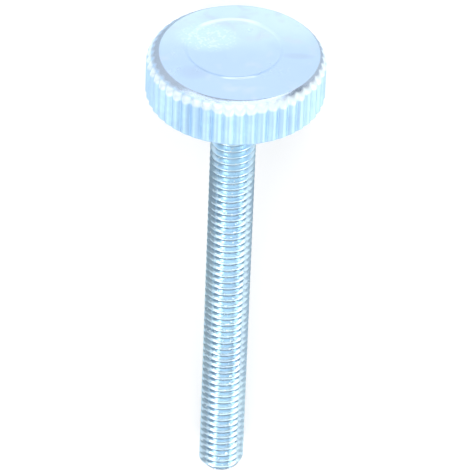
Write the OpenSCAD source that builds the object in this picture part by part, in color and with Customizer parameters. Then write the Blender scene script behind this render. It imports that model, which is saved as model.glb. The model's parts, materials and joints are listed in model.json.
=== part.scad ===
// Thumb screw: a flat knurled head and a fully threaded shank, turned as one piece.
// Millimetres, +Z up. The screw lies as it comes to rest, on two neighbouring ridges of the
// knurl and on the corner of its tip. Its head faces -Y and its shank points along +Y.

/* [Head] */
// Diameter over the ridges of the knurl
head_d = 22.5; // [18:0.5:30]
// Thickness of the head, from the bearing face to the top face
head_h = 6.5; // [4:0.5:10]
// Width of the bevel round the top face, along the radius
top_bevel_w = 1.25; // [0.8:0.05:2]
// Height of the bevel round the top face, along the axis
top_bevel_h = 1; // [0.6:0.05:1.6]
// Width of the bevel round the bearing face, along the radius
under_bevel_w = 0.7; // [0.4:0.05:1.2]
// Height of the bevel round the bearing face, along the axis
under_bevel_h = 0.5; // [0.3:0.05:1]

/* [Knurl] */
// Number of straight grooves round the rim
knurl_count = 48; // [36:1:54]
// Depth of a groove below the ridges
knurl_depth = 0.45; // [0.3:0.05:0.75]
// Angle between the two flanks of a groove
knurl_angle = 90; // [70:5:100]
// Width of the flat at the bottom of a groove
knurl_root_w = 0.12; // [0.06:0.02:0.2]

/* [Mark on the top face] */
// Diameter of the shallow round sinking in the top face
sinking_d = 12.4; // [8:0.2:14]
// Depth of the sinking
sinking_depth = 0.12; // [0.06:0.02:0.3]
// Width of the sinking's sloping edge, along the radius
sinking_edge_w = 0.45; // [0.2:0.05:1]

/* [Shank] */
// Diameter over the crests of the thread
shank_d = 5.8; // [4.8:0.1:7.8]
// Length of the shank, from the bearing face to the end of the tip
shank_l = 60; // [30:1:80]
// Width of the 45 degree bevel at the tip
tip_bevel = 0.8; // [0.4:0.1:1.2]
// Radius of the fillet where the shank meets the head
neck_r = 0.4; // [0.2:0.05:0.8]

/* [Hidden] */
$fn = 96;
plated_steel = [0.80, 0.89, 0.96];

// What is cut reaches this far past the surface it cuts
past = 1;

head_r = head_d / 2;
face_r = head_r - top_bevel_w;
shank_r = shank_d / 2;
tip_r = shank_r - tip_bevel;

// A groove's flank climbs from the edge of the root flat. It ends at the rim, or earlier where
// it meets its neighbour's flank on the ray halfway between two grooves.
root_r = head_r - knurl_depth;
flank = tan(knurl_angle / 2);
half_step = tan(180 / knurl_count);
flank_a = 1 + flank * flank;
flank_b = root_r + flank * knurl_root_w / 2;
flank_c = root_r * root_r + knurl_root_w * knurl_root_w / 4 - head_r * head_r;
climb_to_rim = (sqrt(flank_b * flank_b - flank_a * flank_c) - flank_b) / flank_a;
climb_to_neighbour = (root_r * half_step - knurl_root_w / 2) / (flank - half_step);
ridge_drop = root_r + min(climb_to_rim, climb_to_neighbour);

// At rest a groove points straight down, so the two ridges beside it carry the head: their
// corners lie ridge_drop below the axis. The tip lands on the outer or the inner edge of its
// bevel, whichever touches first as the shank comes down.
tilt_outer = atan((ridge_drop - shank_r) / (under_bevel_h + shank_l - tip_bevel));
tilt_inner = atan((ridge_drop - tip_r) / (under_bevel_h + shank_l));
tilt = min(tilt_outer, tilt_inner);

// Height of the bearing face's centre, and the screw's reach to the front and the back of it
lift = ridge_drop * cos(tilt) - under_bevel_h * sin(tilt);
reach_front = max(
    face_r * sin(tilt) + head_h * cos(tilt),
    ridge_drop * sin(tilt) + (head_h - top_bevel_h) * cos(tilt));
reach_back = max(
    tip_r * sin(tilt) + shank_l * cos(tilt),
    shank_r * sin(tilt) + (shank_l - tip_bevel) * cos(tilt));

// The head as turned, before the knurl: the bearing face is at z = 0
module head_blank() {
    rotate_extrude()
    polygon([
        [0, 0],
        [head_r - under_bevel_w, 0],
        [head_r, under_bevel_h],
        [head_r, head_h - top_bevel_h],
        [face_r, head_h],
        [0, head_h]
    ]);
}

// One groove of the knurl: its flanks are carried on past the rim at the same slope
module groove() {
    rise = knurl_depth + past;
    linear_extrude(head_h + 2 * past)
    polygon([
        [root_r, -knurl_root_w / 2],
        [root_r + rise, -knurl_root_w / 2 - rise * flank],
        [root_r + rise, knurl_root_w / 2 + rise * flank],
        [root_r, knurl_root_w / 2]
    ]);
}

// The grooves run the whole height of the rim and run out in both bevels as scallops.
// The first one points along -Y, so that it is the lowest when the screw is laid down.
module knurl() {
    for (i = [0 : knurl_count - 1])
        rotate(-90 + i * 360 / knurl_count)
        translate([0, 0, -past])
        groove();
}

// Shallow round sinking with a sloping edge, in the middle of the top face
module sinking() {
    floor_r = sinking_d / 2 - sinking_edge_w;
    slope = sinking_edge_w / sinking_depth;
    rotate_extrude()
    polygon([
        [0, head_h - sinking_depth],
        [floor_r, head_h - sinking_depth],
        [floor_r + (sinking_depth + past) * slope, head_h + past],
        [0, head_h + past]
    ]);
}

module head() {
    difference() {
        head_blank();
        knurl();
        sinking();
    }
}

// The shank at the crests of its thread, down to its bevelled tip. It starts inside the head.
module shank() {
    rotate_extrude()
    polygon([
        [0, head_h / 2],
        [shank_r, head_h / 2],
        [shank_r, tip_bevel - shank_l],
        [tip_r, -shank_l],
        [0, -shank_l]
    ]);
}

// Hollow fillet between the bearing face and the shank
module neck() {
    rotate_extrude()
    difference() {
        translate([shank_r / 2, -neck_r])
        square([shank_r / 2 + neck_r, 2 * neck_r]);
        translate([shank_r + neck_r, -neck_r])
        circle(r = neck_r);
    }
}

module thumb_screw() {
    color(plated_steel)
    translate([0, (reach_front - reach_back) / 2, lift])
    rotate([90 - tilt, 0, 0])
    union() {
        head();
        shank();
        neck();
    }
}

thumb_screw();
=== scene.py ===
"""Thumb screw in bright zinc-plated steel, lying on a white table.

The screw is one turned piece, so it is one mesh: a knurled head whose grooves run out into
both bevels, a fillet, a fully threaded shank and a bevelled tip. It is worked out in the
screw's own frame, with the centre of the bearing face at the origin and +Z towards the head's
top face, and then laid down where the CAD screw lies. Lengths are in metres.
"""

import json
import math

import bmesh
import bpy
import numpy as np
from mathutils import Matrix, Vector


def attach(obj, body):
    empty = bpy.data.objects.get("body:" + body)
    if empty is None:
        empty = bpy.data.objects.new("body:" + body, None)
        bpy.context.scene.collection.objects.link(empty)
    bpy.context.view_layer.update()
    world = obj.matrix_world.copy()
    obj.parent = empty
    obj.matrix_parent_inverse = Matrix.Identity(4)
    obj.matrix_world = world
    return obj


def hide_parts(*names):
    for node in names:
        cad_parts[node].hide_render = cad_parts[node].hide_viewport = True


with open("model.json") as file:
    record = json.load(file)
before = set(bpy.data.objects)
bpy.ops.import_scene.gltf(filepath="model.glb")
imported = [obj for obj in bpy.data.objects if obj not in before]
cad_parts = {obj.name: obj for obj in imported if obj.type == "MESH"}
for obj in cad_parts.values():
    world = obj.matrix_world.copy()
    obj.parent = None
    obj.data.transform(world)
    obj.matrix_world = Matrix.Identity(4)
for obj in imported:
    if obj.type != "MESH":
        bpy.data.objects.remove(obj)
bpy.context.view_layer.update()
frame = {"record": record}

MM = 0.001

# ---------------------------------------------------------------- sizes
# Head
head_r = 11.25 * MM
head_h = 6.5 * MM
top_bevel_w = 1.25 * MM
top_bevel_h = 1.0 * MM
under_bevel_w = 0.7 * MM
under_bevel_h = 0.5 * MM
face_r = head_r - top_bevel_w
edge_rounding = 0.14 * MM
flat_w = 0.4 * MM

# Knurl: straight V grooves round the rim, some of them shallower by up to twice the loss
knurl_count = 48
knurl_depth = 0.45 * MM
knurl_loss = 0.08
knurl_root_half = 0.06 * MM
ridge_rounding = 0.26 * MM
root_rounding = 0.22 * MM
ridge_end_rounding = 0.8 * MM

# How much each row from 4 on belongs to the turned bevel: rows 1 to 5 are the curve at the
# face, 6 and 7 lie on the cone, and 8 to 14 are the curve at the ends of the ridges
bevel_shares = [0.6, 1, 1, 1, 0.5, 0.1]

# The top face was turned a little off the knurl's centre, and its sinking off the other way
face_off = Vector((-0.38, 0.0)) * MM
sinking_off = Vector((0.35, -0.75)) * MM

# Shallow round sinking in the top face, with a fine raised burr along its edge. The burr is
# high on arcs, each given as the middle and the half width in degrees, and low elsewhere. Two
# rings divide the sinking's floor.
sinking_r = 6.2 * MM
sinking_depth = 0.12 * MM
sinking_edge_w = 0.45 * MM
burr_h = 0.075 * MM
burr_w = 0.16 * MM
burr_low = 0.2
burr_arcs = [(-75, 34), (104, 24)]
floor_ring_radii = [1.5 * MM, 3.5 * MM]

# Shank and thread
pitch = 1.0 * MM
thread_depth = 0.6134 * pitch
crest_half = 0.0625 * pitch
crest_rounding = 0.06 * pitch
thread_root_rounding = 0.12 * pitch
crest_wear = 0.012 * MM
wear_rounding = 0.02 * MM
thread_start = 0.17 * pitch
run_out = 1.2 * MM
neck_r = 0.4 * MM
tip_bevel = 0.8 * MM

# The shank's radius, length and place come from the record's mount
shank_mount = next(m for m in frame["record"]["mounts"] if m["name"] == "threaded_shank")
shank_r = shank_mount["dims"]["r_mm"] * MM
shank_l = shank_mount["dims"]["length_mm"] * MM + neck_r + tip_bevel
shank_axis = Vector(shank_mount["axis"])
shank_mid = neck_r + shank_mount["dims"]["length_mm"] * MM / 2
bearing_centre = Vector(shank_mount["pos_m"]) - shank_axis * shank_mid
tip_angle = math.acos(-shank_axis.z)
lying = Matrix.Translation(bearing_centre) @ Matrix.Rotation(tip_angle, 4, "X")

# Grid: places across one groove, and rows in one turn of the thread
half_groove_places = np.array([0.06, 0.13, 0.22, 0.33, 0.42, 0.50, 0.58, 0.66]) * MM
half_turn_places = np.array([0.05, 0.09, 0.34, 0.41, 0.455]) * pitch
around = 2 * knurl_count


# ---------------------------------------------------------------- shapes
def soft_min(a, b, blend):
    """The smaller of a and b, with the corner between them rounded over the length blend."""
    near = np.clip(0.5 + 0.5 * (b - a) / blend, 0, 1)
    return b + (a - b) * near - blend * near * (1 - near)


def soft_max(a, b, blend):
    """The larger of a and b, with the corner between them rounded over the length blend."""
    return -soft_min(-a, -b, blend)


def smooth_rise(t):
    """0 before t = 0, 1 after t = 1, and 3t^2 - 2t^3 between them."""
    t = np.clip(t, 0, 1)
    return t * t * (3 - 2 * t)


def knurl_angles():
    """Angles round the head, crowded at the edges of each groove. The first is a groove's
    middle at angle 0, and the middles of all grooves and ridges are among them."""
    step = 2 * math.pi / knurl_count
    half = half_groove_places / head_r
    places = np.concatenate(([0], half, [step / 2], step - half[::-1]))
    return (np.arange(knurl_count)[:, None] * step + places).ravel()


def uneven(angle, seed, waves):
    """A small smooth unevenness round the axis, from -1 to 1: the mean of a few sines with
    whole numbers of waves and seeded phases."""
    rng = np.random.default_rng(seed)
    phases = rng.uniform(0, 2 * math.pi, len(waves))
    return sum(np.sin(w * angle + p) for w, p in zip(waves, phases)) / len(waves)


def knurl_radius(angle):
    """Radius of the knurled rim at an angle: a groove's flanks climb at 45 degrees from its
    root flat to the ridges, with both corners rounded, and no two grooves quite as deep."""
    step = 2 * math.pi / knurl_count
    across = np.abs((angle + step / 2) % step - step / 2) * head_r
    change = uneven(angle, seed=3, waves=(7, 19, 31))
    floor = head_r - knurl_depth * (1 - knurl_loss + knurl_loss * change)
    climb = floor + across - knurl_root_half
    rim = soft_min(climb, head_r, ridge_rounding)
    return soft_max(rim, floor, root_rounding)


def rounded_corner(before, corner, after, length, count=5):
    """A corner turned into a curve: the quadratic curve that leaves the line before-corner
    and joins the line corner-after, each at the given length from the corner or at 0.45 of
    the line where that is shorter. All points are (angles, 2) arrays of radius and height."""
    to_before = before - corner
    to_after = after - corner
    room_before = np.linalg.norm(to_before, axis=1, keepdims=True)
    room_after = np.linalg.norm(to_after, axis=1, keepdims=True)
    first = corner + to_before / room_before * np.minimum(length, 0.45 * room_before)
    last = corner + to_after / room_after * np.minimum(length, 0.45 * room_after)
    t = np.linspace(0, 1, count)[:, None, None]
    return (1 - t) ** 2 * first + 2 * t * (1 - t) * corner + t**2 * last


def between(first, last, count):
    """Evenly spaced rows strictly between two rows of points."""
    t = np.linspace(0, 1, count + 2)[1:-1, None, None]
    return first + (last - first) * t


def rim_rows(angle):
    """Rows of (radius, height) from the flat of the top face over the bevel, down the knurl
    and over the lower bevel to the flat of the bearing face. A bevel ends where its cone
    reaches the knurl's radius at that angle, so each groove runs out in a scallop. With the
    rows comes the share of the turned bevel in each of them."""
    rim = knurl_radius(angle)
    level = np.ones_like(angle)
    face_edge = face_r + face_off.x * np.cos(angle) + face_off.y * np.sin(angle)
    top_end = head_h - top_bevel_h * (rim - face_edge) / (head_r - face_edge)
    under_edge = head_r - under_bevel_w
    under_end = under_bevel_h * (rim - under_edge) / under_bevel_w
    top_flat = np.stack([face_edge - flat_w, level * head_h], 1)
    top_edge = np.stack([face_edge, level * head_h], 1)
    top_break = np.stack([rim, top_end], 1)
    under_break = np.stack([rim, under_end], 1)
    bearing_edge = np.stack([level * under_edge, level * 0], 1)
    bearing_flat = np.stack([level * (under_edge - flat_w), level * 0], 1)
    face_curve = rounded_corner(top_flat, top_edge, top_break, edge_rounding)
    top_curve = rounded_corner(top_edge, top_break, under_break, ridge_end_rounding, 7)
    under_curve = rounded_corner(top_break, under_break, bearing_edge, edge_rounding)
    bearing_curve = rounded_corner(under_break, bearing_edge, bearing_flat, edge_rounding)
    rows = np.concatenate([
        top_flat[None],
        face_curve,
        between(face_curve[-1], top_curve[0], 2),
        top_curve,
        between(top_curve[-1], under_curve[0], 3),
        under_curve,
        bearing_curve,
        bearing_flat[None],
    ])
    bevel = np.zeros(len(rows))
    bevel[4:10] = bevel_shares
    return rows, bevel


def face_rows(angle):
    """Rows of (radius, height) from near the centre of the top face to its flat: a sinking
    whose floor rises to the face in an S, and a burr with a bell-shaped section outside it,
    high on two arcs and low between them."""
    # From just inside the slope to past the burr, in widths of the slope
    slope = np.linspace(-0.15, 1.9, 17)
    radius = np.concatenate([floor_ring_radii, sinking_r - sinking_edge_w * (1 - slope)])
    rise = smooth_rise((radius - sinking_r + sinking_edge_w) / sinking_edge_w)
    burr = burr_h * np.exp(-(((radius - sinking_r - burr_w) / (burr_w / 2)) ** 2))
    burr[-1] = 0
    share = burr_low * np.ones_like(angle)
    for middle, half in burr_arcs:
        away = (np.degrees(angle) - middle + 180) % 360 - 180
        share += (1 - burr_low) * np.exp(-((away / half) ** 2))
    height = (head_h - sinking_depth * (1 - rise))[:, None] + burr[:, None] * share
    return np.stack([radius[:, None] * np.ones_like(angle), height], 2)


def neck_rows(angle):
    """Rows of (radius, height) round the quarter circle from the bearing face to the shank."""
    turn = np.linspace(0, math.pi / 2, 7)
    radius = shank_r + neck_r * (1 - np.sin(turn))
    height = -neck_r * (1 - np.cos(turn))
    level = np.ones_like(angle)
    return np.stack([radius[:, None] * level, height[:, None] * level], 2)


def thread_radius(angle, depth_along):
    """Radius of the thread at an angle and a distance from the bearing face. A right-hand
    thread: the place in its turn is height - pitch * angle / full turn. The section is flat
    and slightly worn at the crest, falls at 60 degrees and is rounded at the root. It fades
    in below the head and is cut by the 45 degree cone of the tip."""
    turn = (-depth_along - pitch * angle / (2 * math.pi) + thread_start) / pitch
    from_crest = np.abs((turn + 0.5) % 1 - 0.5) * pitch
    drop = soft_max(0, (from_crest - crest_half) * math.sqrt(3), crest_rounding)
    drop = soft_min(drop, thread_depth, thread_root_rounding)
    fade = smooth_rise((depth_along - neck_r) / run_out)
    change = uneven(angle + depth_along / pitch, seed=5, waves=(3, 8, 17))
    wear = crest_wear * (1 + change) * fade
    cone = shank_r - tip_bevel + (shank_l - depth_along)
    return np.minimum(shank_r - soft_max(drop, wear, wear_rounding) * fade, cone)


def thread_normals(angle, along):
    """Outward normals of the thread: radius direction, less the radius's slope round the
    axis, less its slope up the axis, from differences over a small step."""
    step = 0.004 * MM
    turn = step / shank_r
    radius = thread_radius(angle, along)
    round_slope = thread_radius(angle + turn, along) - thread_radius(angle - turn, along)
    round_slope = round_slope / (2 * turn * radius)
    down_slope = thread_radius(angle, along + step) - thread_radius(angle, along - step)
    down_slope = down_slope / (2 * step)
    x = np.cos(angle) + round_slope * np.sin(angle)
    y = np.sin(angle) - round_slope * np.cos(angle)
    normal = np.stack([x, y, down_slope], 2)
    return normal / np.linalg.norm(normal, axis=2, keepdims=True)


def thread_rows(angle):
    """Rows of (radius, height) that follow the helix: a row lies at the same place of the
    turn at every angle, and is held between the neck and the end of the tip. With them come
    their normals and the number of rows in one turn."""
    places = np.concatenate([half_turn_places, [pitch / 2], pitch - half_turn_places[::-1]])
    places = np.sort((-places + thread_start - neck_r) % pitch)
    turns = math.ceil((shank_l - neck_r) / pitch) + 1
    start = (np.arange(turns)[:, None] * pitch + places).ravel()
    start = np.concatenate([[0], start, [turns * pitch]]) + neck_r
    along = start[:, None] - pitch * angle / (2 * math.pi)
    along = np.clip(along, neck_r, shank_l)
    rows = np.stack([thread_radius(angle, along), -along], 2)
    return rows, thread_normals(angle, along), len(places)


# ---------------------------------------------------------------- mesh
class Shell:
    """Points and faces of one closed surface, in the screw's own frame."""

    def __init__(self):
        self.points = []
        self.normals = []
        self.bevel = []
        self.faces = []
        self.count = 0

    def add(self, rows, angle, bevel=None, off=(0, 0), normals=None):
        """Rows of (radius, height) at each angle, round a centre off the axis, as points.
        Returns their numbers. Bevel says how far each row belongs to the turned bevel, and
        normals are those of the true surface, or none where the faces' own will do."""
        radius, height = rows[..., 0], rows[..., 1]
        x = radius * np.cos(angle) + off[0]
        y = radius * np.sin(angle) + off[1]
        xyz = np.stack([x, y, height], 2)
        self.points.append(xyz.reshape(-1, 3))
        normals = np.zeros_like(xyz) if normals is None else normals
        self.normals.append(normals.reshape(-1, 3))
        share = np.zeros(len(rows)) if bevel is None else bevel
        self.bevel.append(np.repeat(share, len(angle)))
        numbers = self.count + np.arange(xyz.shape[0] * xyz.shape[1])
        self.count += len(numbers)
        return numbers.reshape(xyz.shape[:2])

    def pole(self, height, off=(0, 0)):
        """A single point on the axis or off it, as its number."""
        self.points.append(np.array([[off[0], off[1], height]]))
        self.normals.append(np.zeros((1, 3)))
        self.bevel.append(np.zeros(1))
        self.count += 1
        return self.count - 1

    def quads(self, numbers, back=0):
        """Quads between neighbouring rows. The last column joins the first one, back rows
        up, which closes a helix."""
        source = np.maximum(np.arange(len(numbers)) - back, 0)
        closed = np.concatenate([numbers, numbers[source, :1]], 1)
        corners = [closed[:-1, :-1], closed[1:, :-1], closed[1:, 1:], closed[:-1, 1:]]
        self.faces += np.stack(corners, 2).reshape(-1, 4).tolist()

    def fan(self, pole, ring, up):
        """Triangles from a single point to the ring round it, facing up or down."""
        nxt = np.roll(ring, -1)
        pair = [ring, nxt] if up else [nxt, ring]
        tris = np.stack([np.full(len(ring), pole)] + pair, 1)
        self.faces += tris.tolist()

    def gather(self, fine, coarse, outwards):
        """Flat faces from a ring with many points to a ring with few, each face holding one
        side of the few and all the points of the many that belong to it."""
        ratio = len(fine) // len(coarse)
        take = (np.arange(len(coarse))[:, None] * ratio + np.arange(ratio + 1)) % len(fine)
        side = np.stack([np.roll(coarse, -1), coarse], 1)
        loops = np.concatenate([fine[take], side], 1)
        self.faces += (loops if outwards else loops[:, ::-1]).tolist()

    def build(self, name):
        """The mesh object, laid down at the CAD screw's place, with doubled points merged."""
        mesh = bpy.data.meshes.new(name)
        mesh.from_pydata(np.concatenate(self.points), [], self.faces)
        share = mesh.attributes.new("bevel", "FLOAT", "POINT")
        share.data.foreach_set("value", np.concatenate(self.bevel).astype(np.float32))
        true = mesh.attributes.new("true_normal", "FLOAT_VECTOR", "POINT")
        true.data.foreach_set("vector", np.concatenate(self.normals).ravel().astype(np.float32))
        bm = bmesh.new()
        bm.from_mesh(mesh)
        bmesh.ops.remove_doubles(bm, verts=bm.verts, dist=1e-7)
        bm.to_mesh(mesh)
        bm.free()
        middle = np.zeros(len(mesh.polygons) * 3, np.float32)
        mesh.polygons.foreach_get("center", middle)
        on_thread = (middle[2::3] < -neck_r).astype(np.int32)
        mesh.polygons.foreach_set("material_index", on_thread)
        mesh.transform(lying)
        mesh.shade_smooth()
        set_true_normals(mesh)
        piece = bpy.data.objects.new(name, mesh)
        bpy.context.scene.collection.objects.link(piece)
        return piece


def set_true_normals(mesh):
    """Gives each point the normal of the true surface where one is stored, turned with the
    screw, and the mean of its faces' normals elsewhere."""
    count = len(mesh.vertices)
    true = np.zeros(count * 3, np.float32)
    mesh.attributes["true_normal"].data.foreach_get("vector", true)
    true = true.reshape(-1, 3) @ np.array(lying.to_3x3()).T
    own = np.zeros(count * 3, np.float32)
    mesh.vertex_normals.foreach_get("vector", own)
    own = own.reshape(-1, 3)
    stored = np.linalg.norm(true, axis=1, keepdims=True) > 0.5
    mesh.normals_split_custom_set_from_vertices(np.where(stored, true, own))
    mesh.attributes.remove(mesh.attributes["true_normal"])


def make_screw():
    """The whole screw: face, rim, bearing face, neck, thread and tip, joined ring to ring."""
    shell = Shell()
    fine = knurl_angles()
    coarse = np.arange(around) * 2 * math.pi / around
    face = shell.add(face_rows(coarse), coarse, off=sinking_off)
    rows, bevel = rim_rows(fine)
    rim = shell.add(rows, fine, bevel=bevel)
    neck = shell.add(neck_rows(coarse), coarse)
    rows, normals, back = thread_rows(coarse)
    thread = shell.add(rows, coarse, normals=normals)
    shell.fan(shell.pole(head_h - sinking_depth, sinking_off), face[0], up=True)
    shell.quads(face)
    shell.gather(rim[0], face[-1], outwards=True)
    shell.quads(rim)
    shell.gather(rim[-1], neck[0], outwards=False)
    shell.quads(neck)
    shell.quads(thread, back)
    shell.fan(shell.pole(-shank_l), thread[-1], up=False)
    return shell.build("zinc_plated_thumb_screw")


# ---------------------------------------------------------------- finishes
# Colours: the shares of red, green and blue light that the metal mirrors
# Painted light: the plate is painted paler towards -Y and deeper towards +Y
plate_painted_lit = (0.70, 0.89, 0.99, 1)
plate_painted_dim = (0.51, 0.68, 0.92, 1)
violet_cloud = (0.62, 0.73, 0.95, 1)
grey_blotch = (0.50, 0.64, 0.80, 1)
veil_tone = (0.66, 0.91, 1.0, 1)
bright_spot_tone = (0.90, 1.0, 1.0, 1)
smudge_tone = (0.40, 0.50, 0.64, 1)
# Painted highlight: the bright arcs along the sinking's edge
arc_highlight_tone = (0.86, 1.0, 1.0, 1)
# Painted shade: the deeper tone in the knurl's grooves
groove_painted_shade = (0.47, 0.67, 0.88, 1)
ridge_tone = (0.54, 0.74, 0.91, 1)
patch_tone = (0.60, 0.83, 0.94, 1)
# Painted highlight: the near-white of the ridge ends and of the thread's glints
painted_glint_tone = (0.90, 0.98, 1.0, 1)
# Painted shade: the bevel's darker tone stands in for the dark its sides should mirror
bevel_painted_shade = (0.37, 0.45, 0.56, 1)
thread_tone = (0.62, 0.82, 0.96, 1)
pale_thread = (0.66, 0.88, 0.99, 1)
# Painted shade: the thread's darker tone towards its root
root_painted_shade = (0.55, 0.69, 0.82, 1)
head_edge_tint = (0.75, 0.85, 0.95, 1)
thread_edge_tint = (0.15, 0.20, 0.24, 1)

# Fineness of the noises, in waves per metre
cloud_scale = 170
ridge_highlight_scale = 260
violet_scale = 330
patch_scale = 420
blotch_scale = 1100
bright_spot_scale = 2300
speck_scale = 2600
ring_scale = 4200
grain_scale = 6000

# Height of what the noises raise
cloud_bump = 0.012 * MM
blotch_bump = 0.006 * MM
ring_bump = 0.003 * MM
grain_bump = 0.002 * MM
speck_bump = 0.012 * MM

# Marks on the top face: the centre and the half axes of an ellipse, in millimetres
spotted_patch = (3.7, -3.1), (4.6, 3.6)
smudges = [((5.2, 4.6), (2.4, 1.8)), ((-7.6, 0.4), (2.4, 0.8))]
highlight_arcs = [((1.5, -6.5), (5, 2.4)), ((-0.8, 5.6), (3, 1))]


class Nodes:
    """A short way to add and link the nodes of one material or world, called n below."""

    def __init__(self, tree):
        self.tree = tree
        tree.nodes.clear()

    def add(self, kind, **settings):
        """A new node of a kind, with its settings."""
        node = self.tree.nodes.new(kind)
        for key, value in settings.items():
            setattr(node, key, value)
        return node

    def link(self, source, target):
        """A link from an output to an input."""
        self.tree.links.new(source, target)

    def feed(self, socket, value):
        """Links an output to the input, or sets the input to a plain number or colour."""
        if isinstance(value, bpy.types.NodeSocket):
            self.link(value, socket)
        else:
            socket.default_value = value

    def math(self, operation, a, b=0.0, c=0.0, clamp=False):
        """One sum, product or other operation on up to three values."""
        node = self.add("ShaderNodeMath", operation=operation, use_clamp=clamp)
        for socket, value in zip(node.inputs, (a, b, c)):
            self.feed(socket, value)
        return node.outputs[0]

    def squares(self, a, b):
        """The sum of two squares."""
        return self.math("ADD", self.math("POWER", a, 2), self.math("POWER", b, 2))

    def noise(self, where, scale, detail=3.0, roughness=0.5):
        """Noise from about 0.2 to 0.8, with the given number of waves per metre."""
        node = self.add("ShaderNodeTexNoise")
        self.link(where, node.inputs["Vector"])
        node.inputs["Scale"].default_value = scale
        node.inputs["Detail"].default_value = detail
        node.inputs["Roughness"].default_value = roughness
        return node.outputs["Fac"]

    def span(self, value, low, high, to_low=0.0, to_high=1.0):
        """A smooth rise from to_low to to_high as the value goes from low to high."""
        node = self.add("ShaderNodeMapRange", interpolation_type="SMOOTHSTEP")
        for socket, number in zip(node.inputs, (value, low, high, to_low, to_high)):
            self.feed(socket, number)
        return node.outputs[0]

    def mix(self, factor, a, b):
        """Colour a where the factor is 0 and colour b where it is 1. The sockets with these
        numbers are the node's colours."""
        node = self.add("ShaderNodeMix", data_type="RGBA")
        self.feed(node.inputs[0], factor)
        self.feed(node.inputs[6], a)
        self.feed(node.inputs[7], b)
        return node.outputs[2]

    def turned(self, where, turn):
        """A place turned about the three axes."""
        node = self.add("ShaderNodeMapping")
        self.link(where, node.inputs["Vector"])
        node.inputs["Rotation"].default_value = turn
        return node.outputs[0]

    def bump(self, height, distance, normal=None):
        """A normal tilted by the slope of a height, where 1 is the given distance."""
        node = self.add("ShaderNodeBump")
        self.link(height, node.inputs["Height"])
        node.inputs["Distance"].default_value = distance
        node.inputs["Strength"].default_value = 1.0
        if normal is not None:
            self.link(normal, node.inputs["Normal"])
        return node.outputs[0]


class Plate(Nodes):
    """The start of a zinc-plate finish: the place of a point in the screw's own frame, as x,
    y and z and as the radius from its axis, and the noises that all the plating shares."""

    def __init__(self, name):
        self.material = bpy.data.materials.new(name)
        self.material.use_nodes = True
        super().__init__(self.material.node_tree)
        coords = self.add("ShaderNodeTexCoord")
        own = self.add("ShaderNodeMapping", vector_type="TEXTURE")
        own.inputs["Location"].default_value = bearing_centre
        own.inputs["Rotation"].default_value = (tip_angle, 0, 0)
        self.link(coords.outputs["Object"], own.inputs["Vector"])
        self.place = own.outputs[0]
        split = self.add("ShaderNodeSeparateXYZ")
        self.link(self.place, split.inputs[0])
        self.x, self.y, self.z = split.outputs
        self.radius = self.math("SQRT", self.squares(self.x, self.y))
        self.clouds = self.noise(self.place, cloud_scale)
        self.blotches = self.noise(self.place, blotch_scale, roughness=0.6)
        self.grain = self.noise(self.place, grain_scale, detail=2, roughness=0.6)

    def away_from(self, centre):
        """Distance from a line along the screw, through a point of the face."""
        across = self.math("SUBTRACT", self.x, centre.x)
        along = self.math("SUBTRACT", self.y, centre.y)
        return self.math("SQRT", self.squares(across, along))

    def spot(self, centre, half, inner=0.3):
        """1 in the middle of an ellipse and 0 outside it, with a soft edge. Its centre and
        half axes are in millimetres. The edge starts where the squared distance, as a share
        of the squared half axis, is inner."""
        across = self.math("SUBTRACT", self.x, centre[0] * MM)
        along = self.math("SUBTRACT", self.y, centre[1] * MM)
        across = self.math("DIVIDE", across, half[0] * MM)
        along = self.math("DIVIDE", along, half[1] * MM)
        return self.span(self.squares(across, along), inner, 1, 1, 0)

    def two_spots(self, spots, inner=0.3):
        """Two soft ellipses, added."""
        first, second = spots
        return self.math("ADD", self.spot(*first, inner), self.spot(*second, inner))

    def finish(self, base, rough, normal, edge_tint):
        """The metal with its colour, roughness and normal, and its tint at grazing angles."""
        shader = self.add("ShaderNodeBsdfPrincipled")
        shader.inputs["Metallic"].default_value = 1.0
        shader.inputs["Specular Tint"].default_value = edge_tint
        self.link(base, shader.inputs["Base Color"])
        self.link(rough, shader.inputs["Roughness"])
        self.link(normal, shader.inputs["Normal"])
        output = self.add("ShaderNodeOutputMaterial")
        self.link(shader.outputs[0], output.inputs["Surface"])
        return self.material


def plate_tones(n):
    """The head's plating: pale to deep along Y, as painted light that is paler towards -Y,
    where the face mirrors the table in the head's shade, with violet clouds and grey blotches.
    """
    violet = n.noise(n.turned(n.place, (0.6, 0.4, 1.1)), violet_scale, detail=2)
    # Painted light: paler towards -Y and deeper towards +Y, with a cloudy edge
    side = n.math("MULTIPLY_ADD", n.clouds, 7 * MM, n.y)
    base = n.mix(n.span(side, -6 * MM, 6 * MM), plate_painted_lit, plate_painted_dim)
    base = n.mix(n.span(violet, 0.52, 0.72, 0, 0.6), base, violet_cloud)
    return n.mix(n.span(n.blotches, 0.62, 0.8, 0, 0.3), base, grey_blotch)


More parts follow.
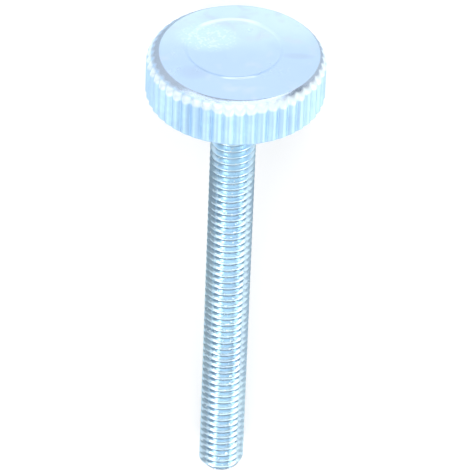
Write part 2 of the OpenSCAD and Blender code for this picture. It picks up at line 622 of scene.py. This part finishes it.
def face_marks(n, base, on_face):
    """The marks on the top face: a spotted patch, as a veil with small bright spots, two soft
    smudges, and two painted highlights as bright arcs along the edge of the sinking."""
    spots = n.noise(n.place, bright_spot_scale, detail=2, roughness=0.6)
    # A paler veil over part of the face, with small bright spots in it
    veil = n.math("MULTIPLY", n.spot(*spotted_patch, 0.1), on_face)
    bright_spots = n.math("MULTIPLY", veil, n.span(spots, 0.50, 0.62))
    base = n.mix(n.math("MULTIPLY", veil, 0.6), base, veil_tone)
    base = n.mix(n.math("MULTIPLY", bright_spots, 0.4), base, bright_spot_tone)

    smudge = n.math("MULTIPLY", n.two_spots(smudges, 0.0), on_face)
    base = n.mix(n.math("MULTIPLY", smudge, 0.3), base, smudge_tone)

    # Painted highlight: bright arcs over the sinking's wall and burr
    ring = n.math("SUBTRACT", n.away_from(sinking_off), sinking_r + 0.04 * MM)
    ring = n.span(n.math("ABSOLUTE", ring), 0.10 * MM, 0.40 * MM, 1, 0)
    ring = n.math("MULTIPLY", n.math("MULTIPLY", ring, n.two_spots(highlight_arcs)), on_face)
    return n.mix(n.math("MULTIPLY", ring, 0.9), base, arc_highlight_tone)


def knurl_tones(n, base, on_knurl):
    """The knurl's colour: deeper in the grooves than on the ridges, which is painted shade,
    with paler patches.
    """
    patches = n.noise(n.place, patch_scale, detail=2, roughness=0.6)
    # Painted shade: deeper towards the grooves' roots
    ridge = n.span(n.radius, head_r - 0.42 * MM, head_r - 0.10 * MM)
    knurl = n.mix(ridge, groove_painted_shade, ridge_tone)
    knurl = n.mix(n.span(patches, 0.42, 0.68, 0, 0.6), knurl, patch_tone)
    return n.mix(n.math("MULTIPLY", on_knurl, 0.9), base, knurl)


def painted_ridge_end_highlights(n, base):
    """The top ends of the ridges, painted bright as a painted highlight. They show near the
    crest only, which falls by 0.3 of the climb over the last 1.6 mm of the head, and noise sets
    how far down they go."""
    wear = n.noise(n.place, ridge_highlight_scale, detail=1)
    height = n.math("MULTIPLY_ADD", wear, 1.4 * MM, n.z)
    climb = n.math("MAXIMUM", n.math("SUBTRACT", n.z, head_h - 1.6 * MM), 0.0)
    crest = n.math("MULTIPLY_ADD", climb, 0.3, n.radius)
    # Painted highlight on the ridge ends
    worn = n.span(height, head_h - 1.0 * MM, head_h - 0.6 * MM)
    worn = n.math("MULTIPLY", worn, n.span(crest, head_r - 0.44 * MM, head_r - 0.18 * MM))
    return n.mix(n.math("MULTIPLY", worn, 0.85), base, painted_glint_tone)


def turning_rings(n, on_face):
    """Fine rings left on the top face by turning: noise that changes with the radius only."""
    place = n.add("ShaderNodeCombineXYZ")
    n.link(n.radius, place.inputs[0])
    rings = n.noise(place.outputs[0], ring_scale, roughness=0.7)
    return n.math("MULTIPLY", rings, on_face)


def plated_head():
    """Bright zinc plate over a turned head: a pale blue metal, clouded by the plating, with
    painted light that makes it paler on the side nearer the table. The face has its marks and
    turning rings, the bevel is painted a darker tone as painted shade, and the knurl is matt,
    with painted shade in its grooves and painted highlights on its ridge ends."""
    n = Plate("zinc_plated_head")
    bevel = n.add("ShaderNodeAttribute", attribute_name="bevel").outputs["Fac"]
    on_face = n.span(n.z, head_h - 0.3 * MM, head_h - 0.2 * MM)
    on_knurl = n.span(n.radius, head_r - 1.0 * MM, head_r - 0.7 * MM)
    on_knurl = n.math("MULTIPLY", on_knurl, n.math("SUBTRACT", 1.0, bevel))

    base = face_marks(n, plate_tones(n), on_face)
    base = painted_ridge_end_highlights(n, knurl_tones(n, base, on_knurl))
    # Painted shade: the turned bevel is painted darker
    base = n.mix(bevel, base, bevel_painted_shade)

    rough = n.math("MULTIPLY_ADD", n.clouds, 0.16, 0.18)
    rough = n.math("MULTIPLY_ADD", n.blotches, 0.10, rough)
    rough = n.math("MULTIPLY_ADD", on_knurl, 0.30, rough)
    rough = n.math("MULTIPLY_ADD", bevel, -0.06, rough)

    normal = n.bump(n.clouds, cloud_bump)
    normal = n.bump(n.blotches, blotch_bump, normal)
    normal = n.bump(turning_rings(n, on_face), ring_bump, normal)
    normal = n.bump(n.grain, grain_bump, normal)
    return n.finish(base, rough, normal, head_edge_tint)


def plated_thread():
    """Bright zinc plate over a rolled thread: smoother than the head but rougher towards it,
    painted darker towards the root as painted shade, and with small bright specks, painted
    glints over small bumps, that thicken towards the head."""
    n = Plate("zinc_plated_thread")
    specks = n.noise(n.place, speck_scale, detail=1)
    dense = n.span(n.z, -12 * MM, -1 * MM, 0.70, 0.60)
    # Painted glints: small bright specks over small bumps, thicker towards the head
    speck = n.math("MULTIPLY", n.math("SUBTRACT", specks, dense), 20, clamp=True)
    # Painted shade: darker towards the root, less so near the head
    root_shade = n.math("DIVIDE", n.math("SUBTRACT", shank_r - 0.03 * MM, n.radius), 0.50 * MM)
    root_shade = n.math("MULTIPLY", root_shade, n.span(n.blotches, 0.3, 0.6, 1.0, 0.85), clamp=True)
    root_shade = n.math("MULTIPLY", root_shade, n.span(n.z, -12 * MM, -2 * MM, 1.0, 0.7))

    base = n.mix(n.span(n.clouds, 0.38, 0.62), thread_tone, pale_thread)
    base = n.mix(root_shade, base, root_painted_shade)
    base = n.mix(speck, base, painted_glint_tone)

    rough = n.span(n.z, -18 * MM, -4 * MM, 0.15, 0.27)
    rough = n.math("MULTIPLY_ADD", n.clouds, 0.10, rough)
    rough = n.math("MULTIPLY_ADD", speck, 0.30, rough)

    normal = n.bump(n.blotches, blotch_bump)
    normal = n.bump(speck, speck_bump, normal)
    normal = n.bump(n.grain, grain_bump, normal)
    return n.finish(base, rough, normal, thread_edge_tint)


# ---------------------------------------------------------------- stage
def board(name, corners):
    """A flat board between four corners, with a matt material. Returns the object, the nodes
    of its material and the matt shader."""
    mesh = bpy.data.meshes.new(name)
    mesh.from_pydata(corners, [], [(0, 1, 2, 3)])
    sheet = bpy.data.objects.new(name, mesh)
    bpy.context.scene.collection.objects.link(sheet)
    material = bpy.data.materials.new(name)
    material.use_nodes = True
    mesh.materials.append(material)
    n = Nodes(material.node_tree)
    return sheet, n, n.add("ShaderNodeBsdfDiffuse")


def white_table():
    """A wide white table top. A glow that is only seen or mirrored makes its open surface
    show as white. It lights nothing, so the shadow stays."""
    half = 3.0
    corners = [(-half, -half, 0), (half, -half, 0), (half, half, 0), (-half, half, 0)]
    table, n, matt = board("white_table", corners)
    matt.inputs["Color"].default_value = (0.67, 0.66, 0.65, 1)
    glow = n.add("ShaderNodeEmission")
    path = n.add("ShaderNodeLightPath")
    seen = n.math("ADD", path.outputs["Is Camera Ray"], path.outputs["Is Glossy Ray"])
    seen = n.math("ADD", seen, path.outputs["Is Transmission Ray"], clamp=True)
    n.link(n.math("MULTIPLY", seen, 0.40), glow.inputs["Strength"])
    both = n.add("ShaderNodeAddShader")
    n.link(matt.outputs[0], both.inputs[0])
    n.link(glow.outputs[0], both.inputs[1])
    output = n.add("ShaderNodeOutputMaterial")
    n.link(both.outputs[0], output.inputs["Surface"])


def white_card(name, x, top, white):
    """A white card that stands on the table beside the shank and slopes with it, its top
    edge a little above or below the shank's axis. It is out of the camera's sight: only the
    metal mirrors it, in place of the brighter table, which gives the shank a darker edge. It
    starts clear of the bearing face, which would mirror it too."""
    clear, length, least_h = 4 * MM, 61 * MM, 1 * MM
    slope = shank_axis.z / shank_axis.y
    start = bearing_centre.y + clear
    end = start + length
    start_h = bearing_centre.z + top + clear * slope
    end_h = max(start_h + length * slope, least_h)
    corners = [(x, start, 0), (x, end, 0), (x, end, end_h), (x, start, start_h)]
    card, n, matt = board(name, corners)
    matt.inputs["Color"].default_value = (white, white, white, 1)
    output = n.add("ShaderNodeOutputMaterial")
    n.link(matt.outputs[0], output.inputs["Surface"])
    card.visible_camera = False
    card.visible_shadow = False
    card.visible_diffuse = False


def studio_sky():
    """A studio round the table: a soft roof, a greyer wall in front and a slightly brighter
    one behind, all darker towards the table, and a bright long box over the screw's tip from
    side to side."""
    front, roof, behind_more, box_more, low_share = 0.38, 0.52, 0.05, 1.05, 0.7
    world = bpy.data.worlds.new("studio")
    bpy.context.scene.world = world
    world.use_nodes = True
    n = Nodes(world.node_tree)
    coords = n.add("ShaderNodeTexCoord")
    split = n.add("ShaderNodeSeparateXYZ")
    n.link(coords.outputs["Generated"], split.inputs[0])
    y, z = split.outputs[1], split.outputs[2]
    level = n.span(y, -0.50, -0.30, front, roof)
    wall = n.span(y, 0.62, 0.74)
    level = n.math("ADD", level, n.math("MULTIPLY", wall, behind_more))
    box = n.math("MULTIPLY", n.span(y, 0.30, 0.40), n.span(y, 0.60, 0.70, 1, 0))
    level = n.math("ADD", level, n.math("MULTIPLY", box, box_more))
    level = n.math("MULTIPLY", level, n.span(z, 0.0, 0.15, low_share, 1.0))
    background = n.add("ShaderNodeBackground")
    background.inputs["Color"].default_value = (0.96, 0.98, 1.0, 1)
    n.link(level, background.inputs["Strength"])
    output = n.add("ShaderNodeOutputWorld")
    n.link(background.outputs[0], output.inputs["Surface"])


def soft_light(name, towards, distance, size, level):
    """A rectangular lamp in a direction from the screw, turned to face it, with its second
    side along Y as far as that can be. Its level is how bright its face is, where a level of
    1 shows as white. Its energy is level * pi * area."""
    lamp = bpy.data.lights.new(name, "AREA")
    lamp.shape = "RECTANGLE"
    lamp.size, lamp.size_y = size
    lamp.energy = level * math.pi * size[0] * size[1]
    holder = bpy.data.objects.new(name, lamp)
    bpy.context.scene.collection.objects.link(holder)
    away = Vector(towards).normalized()
    side = Vector((0, 1, 0)).cross(away).normalized()
    turn = Matrix((side, away.cross(side), away)).transposed().to_4x4()
    holder.matrix_world = Matrix.Translation(away * distance) @ turn
    holder.visible_camera = False


def make_camera():
    """A long lens that looks down on the lying screw from the head's side."""
    lens = bpy.data.cameras.new("camera")
    lens.sensor_width = 36
    lens.lens = 398.3
    lens.clip_start = 0.05
    camera = bpy.data.objects.new("camera", lens)
    bpy.context.scene.collection.objects.link(camera)
    right = Vector((-0.99924, -0.03424, -0.01847))
    up = Vector((0.03889, -0.86529, -0.49977))
    back = right.cross(up)
    turn = Matrix((right, up, back)).transposed().to_4x4()
    eye = Vector((0.0588, -335.753, 582.735)) * MM
    camera.matrix_world = Matrix.Translation(eye) @ turn
    bpy.context.scene.camera = camera


# ---------------------------------------------------------------- scene
scene = bpy.context.scene
scene.view_settings.view_transform = "Standard"

screw = make_screw()
screw.data.materials.append(plated_head())
screw.data.materials.append(plated_thread())
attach(screw, "root")
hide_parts("thumb_screw")

white_table()
white_card("left_card", 8 * MM, 0.0, 0.68)
white_card("right_card", -8 * MM, -2.0 * MM, 0.90)
studio_sky()
make_camera()
soft_light("front_light", (0.0, -0.71, 0.70), 1.2, (1.0, 0.74), 2.7)
soft_light("front_left_light", (0.55, -0.765, 0.33), 1.2, (0.60, 0.42), 2.9)
soft_light("front_right_light", (-0.55, -0.765, 0.33), 1.2, (0.60, 0.42), 2.9)
soft_light("left_strip", (0.55, 0.56, 0.62), 1.1, (0.28, 0.80), 3.2)
soft_light("right_strip", (-0.73, 0.56, 0.40), 1.1, (0.42, 0.80), 3.2)
